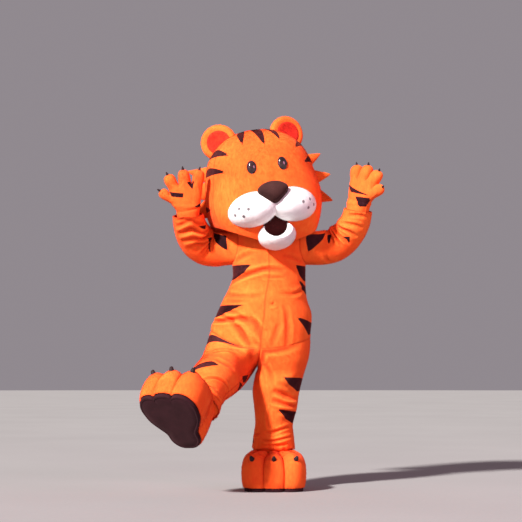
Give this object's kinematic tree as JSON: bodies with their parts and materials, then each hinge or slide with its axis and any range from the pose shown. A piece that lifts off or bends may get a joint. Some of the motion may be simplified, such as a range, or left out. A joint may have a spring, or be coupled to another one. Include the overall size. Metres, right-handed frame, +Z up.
{
  "type": "mascot costume",
  "caption": "Full-body tiger mascot costume of orange plush with dark stripes: hollow jumpsuit, helmet head, mitts and paw boots, worn pose with one leg kicked forward.",
  "frame": {"origin": "between the wearer's shoulders, level with the shoulder seams, where the suit is carried", "axes": "+Z up, -Y the way the costume's chest faces, +X towards the wearer's left"},
  "size_m": [1.1927, 1.0732, 1.9274],
  "materials": {
    "orange_plush": "short soft pile",
    "inner_ear_plush": "short soft pile",
    "white_plush": "short soft pile",
    "mouth_gauze": "matte open gauze",
    "nose_felt": "smooth felt",
    "eye_plastic": "gloss",
    "sole_felt": "dense matte felt",
    "claw_felt": "stuffed felt"
  },
  "bodies": {
    "root": {"torso_front_left": "orange_plush", "torso_front_right": "orange_plush", "torso_back_left": "orange_plush", "torso_back_right": "orange_plush", "sleeve_front_left": "orange_plush", "sleeve_front_right": "orange_plush", "sleeve_back_left": "orange_plush", "sleeve_back_right": "orange_plush", "leg_front_left": "orange_plush", "leg_front_right": "orange_plush", "leg_back_left": "orange_plush", "leg_back_right": "orange_plush", "mitt_left_back": "orange_plush", "mitt_left_palm": "orange_plush", "mitt_right_back": "orange_plush", "mitt_right_palm": "orange_plush", "boot_left_toe": "orange_plush", "boot_left_heel": "orange_plush", "boot_right_toe": "orange_plush", "boot_right_heel": "orange_plush", "head_face": "orange_plush", "head_side_left": "orange_plush", "head_side_right": "orange_plush", "head_crown": "orange_plush", "ear_left": "orange_plush", "ear_right": "orange_plush", "cheek_tuft_left_1": "orange_plush", "cheek_tuft_left_2": "orange_plush", "cheek_tuft_left_3": "orange_plush", "cheek_tuft_right_1": "orange_plush", "cheek_tuft_right_2": "orange_plush", "cheek_tuft_right_3": "orange_plush", "mitt_left_claw_1": "claw_felt", "mitt_left_claw_2": "claw_felt", "mitt_left_claw_3": "claw_felt", "mitt_left_claw_4": "claw_felt", "mitt_right_claw_1": "claw_felt", "mitt_right_claw_2": "claw_felt", "mitt_right_claw_3": "claw_felt", "mitt_right_claw_4": "claw_felt", "boot_left_claw_1": "claw_felt", "boot_left_claw_2": "claw_felt", "boot_left_claw_3": "claw_felt", "boot_right_claw_1": "claw_felt", "boot_right_claw_2": "claw_felt", "boot_right_claw_3": "claw_felt", "boot_left_sole": "sole_felt", "boot_right_sole": "sole_felt", "ear_inner_left": "inner_ear_plush", "ear_inner_right": "inner_ear_plush", "muzzle": "white_plush", "jaw": "white_plush", "nose": "nose_felt", "mouth_gauze": "mouth_gauze", "eye_left": "eye_plastic", "eye_right": "eye_plastic"}
  },
  "joints": []
}
